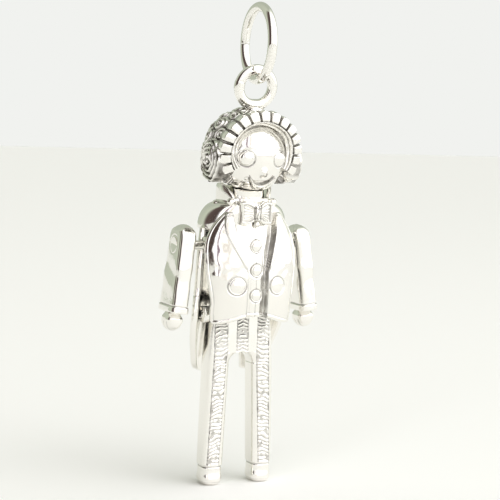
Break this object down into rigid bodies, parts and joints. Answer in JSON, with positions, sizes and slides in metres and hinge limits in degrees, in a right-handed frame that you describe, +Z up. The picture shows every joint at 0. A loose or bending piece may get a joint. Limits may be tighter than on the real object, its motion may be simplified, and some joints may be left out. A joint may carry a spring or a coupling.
{
  "type": "silver charm of a ventriloquist's dummy",
  "caption": "Jointed silver charm of a ventriloquist's dummy in tailcoat, bow tie and striped trousers, hung by a loop and jump ring; the head nods, the arms turn and the legs swing.",
  "frame": {"origin": "inside top of the jump ring, where a chain or bracelet link carries the charm", "axes": "+Z up, the figure faces -Y, its own right hand is at -X"},
  "size_m": [0.0122, 0.0076, 0.0359],
  "materials": {
    "polished_silver": "polished",
    "textured_silver": "polished over cast and knurled relief, darkened in the recesses",
    "silver_wire": "drawn and polished"
  },
  "bodies": {
    "jump_ring": {"jump_ring": "polished_silver"},
    "head": {"head": "polished_silver", "eyes": "polished_silver", "head_loop": "polished_silver", "hair_cap": "textured_silver", "hair_fringe": "textured_silver", "side_curl_right": "textured_silver", "side_curl_left": "textured_silver"},
    "coat": {"coat_front": "polished_silver", "coat_back": "polished_silver", "shoulder_yoke": "polished_silver", "lapels": "polished_silver", "bow_tie": "polished_silver", "shirt_buttons": "polished_silver", "coat_buttons": "polished_silver", "neck_pin": "silver_wire", "hip_pin": "silver_wire", "shoulder_shaft": "silver_wire"},
    "arm_right": {"arm_right": "polished_silver", "hand_right": "polished_silver"},
    "arm_left": {"arm_left": "polished_silver", "hand_left": "polished_silver"},
    "legs": {"legs": "textured_silver", "shoes": "polished_silver"}
  },
  "joints": [
    {"name": "figure_swing", "type": "hinge", "parent": "jump_ring", "child": "head", "pos_m": [0, 0, -0.00495], "axis": [0.0523, 0.9986, 0], "range_deg": [-80, 80]},
    {"name": "head_nod", "type": "hinge", "parent": "head", "child": "coat", "pos_m": [0, 0.00176, -0.01417], "axis": [1, 0, 0], "range_deg": [-8, 28]},
    {"name": "arm_right_turn", "type": "hinge", "parent": "coat", "child": "arm_right", "pos_m": [0, 0.00196, -0.01722], "axis": [1, 0, 0], "continuous": true},
    {"name": "arm_left_turn", "type": "hinge", "parent": "coat", "child": "arm_left", "pos_m": [0, 0.00196, -0.01722], "axis": [1, 0, 0], "continuous": true},
    {"name": "leg_swing", "type": "hinge", "parent": "coat", "child": "legs", "pos_m": [0, 0.00196, -0.02237], "axis": [1, 0, 0], "range_deg": [-45, 6]}
  ]
}
